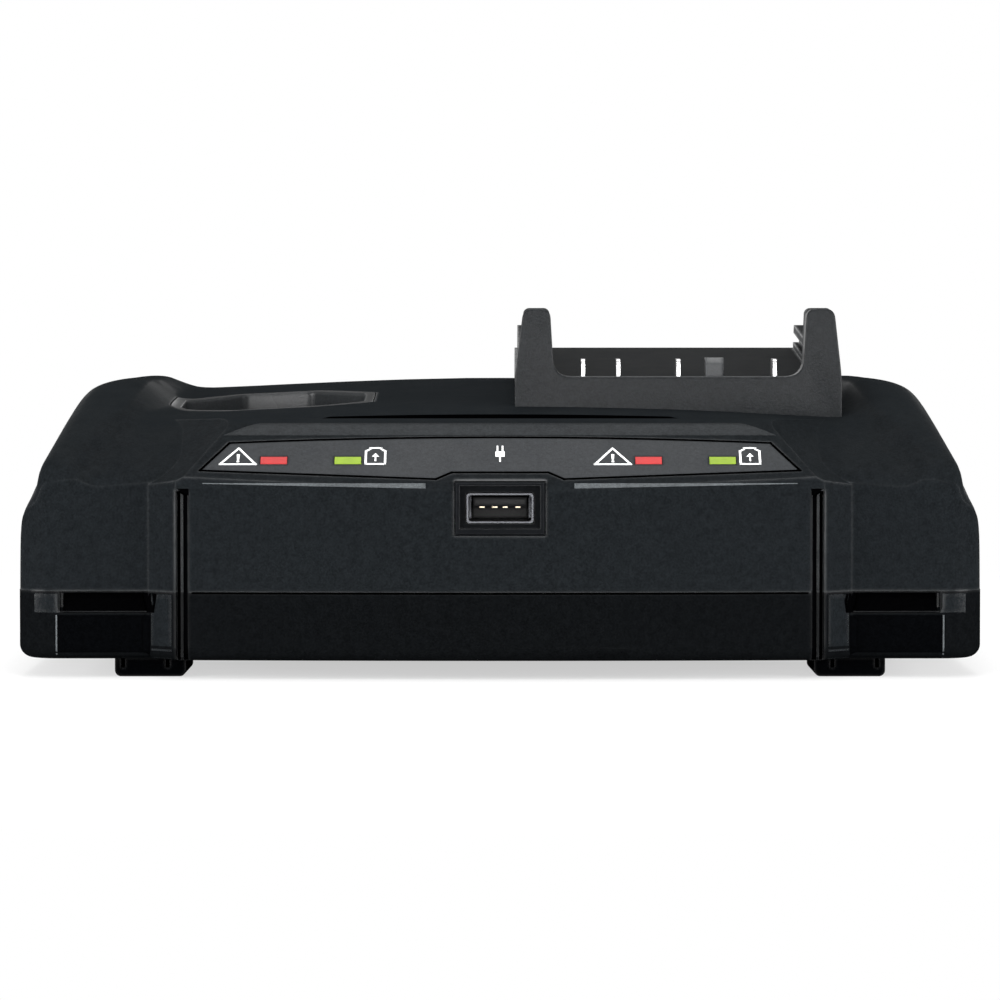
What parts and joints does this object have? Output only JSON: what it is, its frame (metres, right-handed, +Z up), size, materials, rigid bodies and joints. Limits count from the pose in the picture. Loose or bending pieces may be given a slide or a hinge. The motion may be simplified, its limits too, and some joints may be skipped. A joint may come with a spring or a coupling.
{
  "type": "power tool battery charger",
  "caption": "Wide low twin-bay battery charger with a deep pod socket, a raised slide dock between two horns, a sloped light panel and a small power outlet in front.",
  "frame": {"origin": "middle of the body's width and depth, at the height of the feet's soles", "axes": "+X to the charger's right as seen from in front, +Y to the back, +Z up"},
  "size_m": [0.19, 0.147, 0.0727],
  "materials": {
    "housing_plastic": "fine spark-eroded texture",
    "bay_plastic": "fine spark-eroded texture",
    "frame_plastic": "satin",
    "plated_blade": "bright plated",
    "detent_plastic": "satin",
    "spring_steel": "drawn wire",
    "bezel_plastic": "semi-gloss",
    "outlet_metal": "nickel plated",
    "tongue_plastic": "satin",
    "contact_metal": "plated",
    "label_film": "satin printed film",
    "red_lens": "clear tinted",
    "green_lens": "clear tinted",
    "light_chip": "moulded",
    "circuit_board": "lacquered",
    "screw_steel": "zinc plated",
    "black_rubber": "matt",
    "ferrite": "ground",
    "copper_wire": "enamelled",
    "winding_tape": "polyester tape",
    "sink_aluminium": "extruded",
    "chip_plastic": "moulded",
    "capacitor_sleeve": "shrink sleeve",
    "film_case": "moulded",
    "fuse_case": "moulded",
    "plate_film": "bare film",
    "wire_cover": "soft insulation"
  },
  "bodies": {
    "housing": {"upper_housing": "housing_plastic", "lower_housing": "housing_plastic", "pod_socket": "bay_plastic", "slide_dock": "bay_plastic", "terminal_block": "frame_plastic", "terminal_posts": "frame_plastic", "dock_blades": "plated_blade", "pod_blades": "plated_blade", "detent_spring": "spring_steel", "outlet_bezel": "bezel_plastic", "outlet_shell": "outlet_metal", "outlet_tongue": "tongue_plastic", "outlet_contacts": "contact_metal", "panel_label": "label_film", "red_lenses": "red_lens", "green_lenses": "green_lens", "light_chips": "light_chip", "main_board": "circuit_board", "front_board": "circuit_board", "housing_screws": "screw_steel", "board_screws": "screw_steel", "front_board_screws": "screw_steel", "cord_gland": "black_rubber", "choke_core": "ferrite", "choke_turns": "copper_wire", "transformer_core": "ferrite", "transformer_winding": "winding_tape", "heat_sink": "sink_aluminium", "power_transistors": "chip_plastic", "bridge_rectifier": "chip_plastic", "control_chip": "chip_plastic", "bulk_capacitor": "capacitor_sleeve", "output_capacitors": "capacitor_sleeve", "film_capacitor": "film_case", "fuse_holder": "fuse_case", "rating_plate": "plate_film", "dock_wires": "wire_cover", "foot_front_left": "black_rubber", "foot_front_right": "black_rubber", "foot_back_left": "black_rubber", "foot_back_right": "black_rubber"},
    "detent": {"pack_detent": "detent_plastic"}
  },
  "joints": [
    {"name": "detent_press", "type": "slide", "parent": "housing", "child": "detent", "axis": [0, 0, 1], "range_m": [-0.0045, 0], "stiffness_N_per_m": 350, "springref_m": 0.004, "deforming": ["detent_spring"]}
  ]
}
